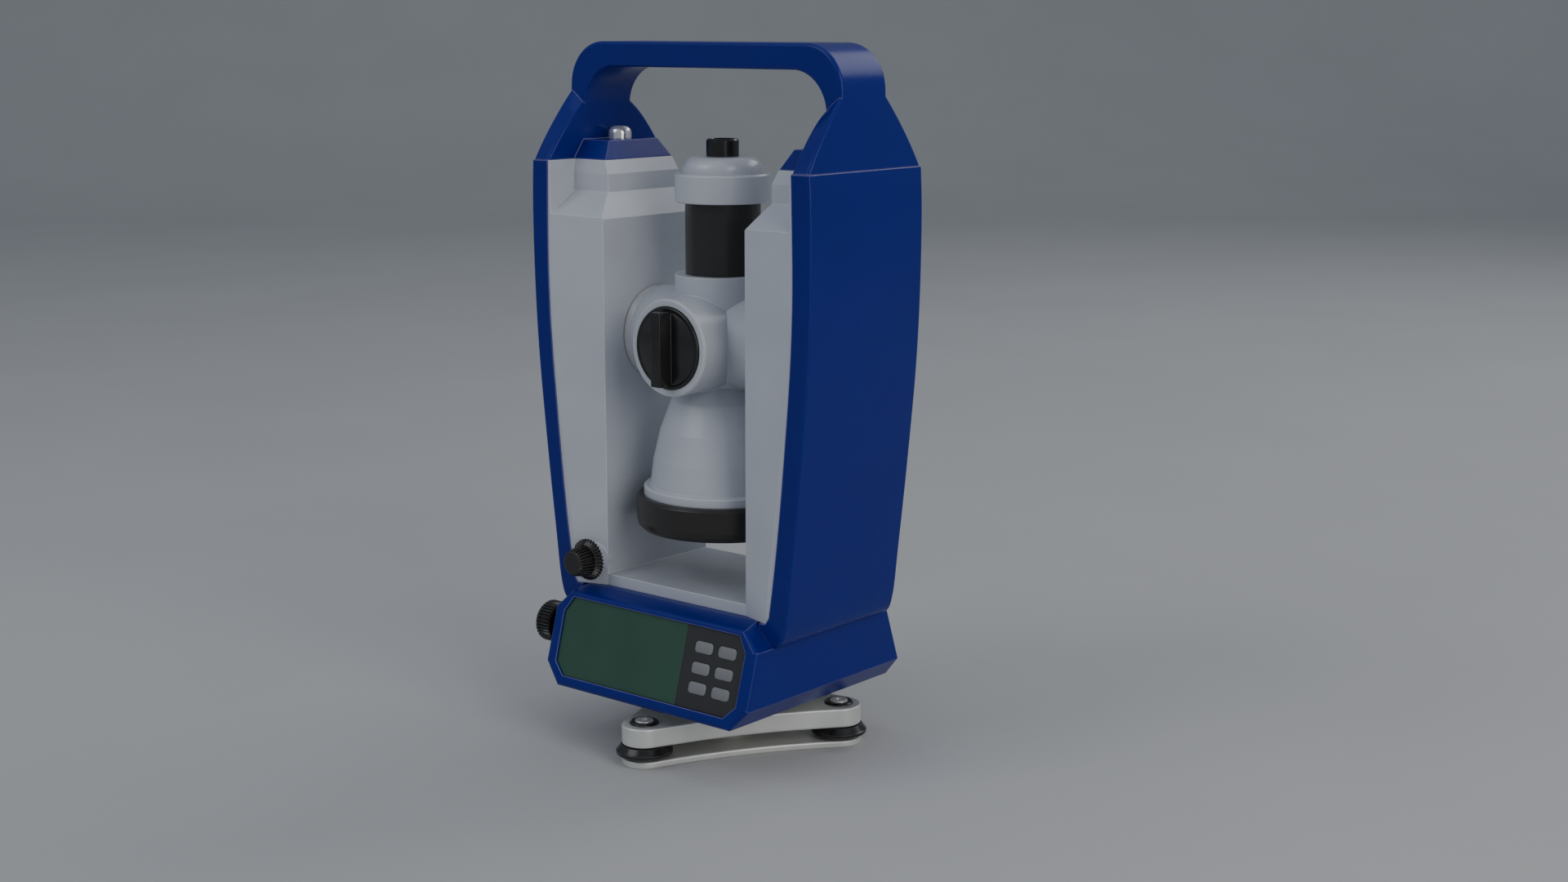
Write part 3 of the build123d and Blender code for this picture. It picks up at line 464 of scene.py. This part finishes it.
# ---- Focusing knob -------------------------------------------------------------------------
def build_focus_knob():
    """Round cap with a raised straight finger bar across it and a shallow groove at its rim."""
    low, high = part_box("focus_knob")
    middle = centre("focus_knob")
    place = Matrix.Translation((middle.x, 0, middle.z)) @ Matrix.Rotation(math.pi / 2, 4, "X")
    radius, back, front = (high[0] - low[0]) / 2, -high[1], -low[1]
    face = back + 4.1 * MM
    bore, rounding = 3.05 * MM, 0.7 * MM
    bm = bmesh.new()
    rows = [(0, back + 3.0 * MM, 0), (bore, back + 3.0 * MM, 0), (bore, back, 0),
            (radius - 0.1 * MM, back, 0), (radius, back + 0.2 * MM, 0)]
    for k in range(6):
        angle = math.pi / 2 * k / 5
        rows.append((radius - rounding * (1 - math.cos(angle)),
                     face - rounding + rounding * math.sin(angle), 0))
    rows += [(radius - 1.4 * MM, face, 0), (radius - 1.8 * MM, face - 0.25 * MM, 0),
             (radius - 2.2 * MM, face - 0.25 * MM, 0), (radius - 2.6 * MM, face, 0), (0, face, 0)]
    ribbed(bm, rows, 24, place, steps=4)

    width, length = (size * MM for size in BAR_SIZE)
    corner, edge = BAR_CORNER * MM, BAR_ROUND * MM
    levels = [(0.0, face - 0.1 * MM), (0.0, front - edge)]
    for k in range(1, 5):
        angle = math.pi / 2 * k / 4
        levels.append((-edge * (1 - math.cos(angle)), front - edge + edge * math.sin(angle)))
    rings = []
    for grow, z in levels:
        outline = rounded_outline(width + 2 * grow, length + 2 * grow, corner + grow)
        rings.append([bm.verts.new(place @ Vector((x, y, z))) for x, y in outline])
    sweep_rings(bm, rings, False)
    bm.faces.new(rings[0])
    bm.faces.new(rings[-1])
    grip = finished(bm, "focus_grip", 45.0)
    piece("focus_grip", grip, "focus_knob", "black_plastic", ["focus_knob"])


build_knobs()
build_keys()
build_screws()
build_focus_knob()


# ---- Studio --------------------------------------------------------------------------------
def build_floor():
    """Pale floor that curves up into a plain backdrop far behind the object."""
    reach, rise, bend = 4.0, 2.5, 1.2
    profile = [(-reach, 0.0), (reach - bend, 0.0)]
    profile += [(reach - bend + bend * math.sin(a), bend - bend * math.cos(a))
                for a in (math.pi / 2 * k / 12 for k in range(1, 13))]
    profile.append((reach, rise))
    heading = math.radians(CAMERA_ANGLES[2])
    direction = Vector((-math.sin(heading), math.cos(heading), 0))
    sideways = direction.cross(Vector((0, 0, 1)))
    bm = bmesh.new()
    rows = [[bm.verts.new(direction * d + sideways * w + Vector((0, 0, z))) for d, z in profile]
            for w in (-6.0, 6.0)]
    for k in range(len(profile) - 1):
        bm.faces.new((rows[0][k], rows[0][k + 1], rows[1][k + 1], rows[1][k]))
    mesh = finished(bm, "floor")
    floor = bpy.data.objects.new("floor", mesh)
    bpy.context.scene.collection.objects.link(floor)
    mesh.materials.append(surface("studio_floor", (0.50, 0.50, 0.50), 0.7, patch=200.0, mottle=0.02,
                                  grain=2.0, relief=0.02, edge_wear_and_highlight_amount=0.0))


def area_light(name, place, size, power, color):
    """Soft rectangular light turned towards the instrument."""
    light = bpy.data.lights.new(name, "AREA")
    light.shape = "RECTANGLE"
    light.size, light.size_y = size
    light.energy = power
    light.color = color
    lamp = bpy.data.objects.new(name, light)
    lamp.location = place
    aim = Vector((0, 0, AIM_HEIGHT)) - Vector(place)
    lamp.rotation_euler = aim.to_track_quat("-Z", "Y").to_euler()
    bpy.context.scene.collection.objects.link(lamp)


def build_studio():
    """Floor, four soft lights and an even pale sky."""
    build_floor()
    area_light("key", (-0.7, -1.7, 1.5), (1.3, 1.3), 10.5, (0.93, 0.96, 1.0))
    area_light("fill", (1.9, -0.5, 0.9), (1.2, 1.6), 15.0, (1.0, 0.965, 0.93))
    area_light("back", (0.5, 1.9, 1.5), (1.8, 0.8), 10.0, (1.0, 1.0, 1.0))
    area_light("top", (0.0, -0.1, 2.2), (1.2, 1.2), 2.5, (0.95, 0.98, 1.0))
    world = bpy.data.worlds.new("studio")
    world.use_nodes = True
    background = world.node_tree.nodes["Background"]
    background.inputs["Color"].default_value = (0.72, 0.80, 0.92, 1.0)
    background.inputs["Strength"].default_value = 0.34
    bpy.context.scene.world = world


def build_camera():
    """Camera at the angle of the reference view."""
    data = bpy.data.cameras.new("camera")
    data.lens, data.sensor_width = LENS, SENSOR
    camera = bpy.data.objects.new("camera", data)
    camera.location = CAMERA_PLACE
    camera.rotation_euler = [math.radians(angle) for angle in CAMERA_ANGLES]
    bpy.context.scene.collection.objects.link(camera)
    bpy.context.scene.camera = camera


build_studio()
build_camera()
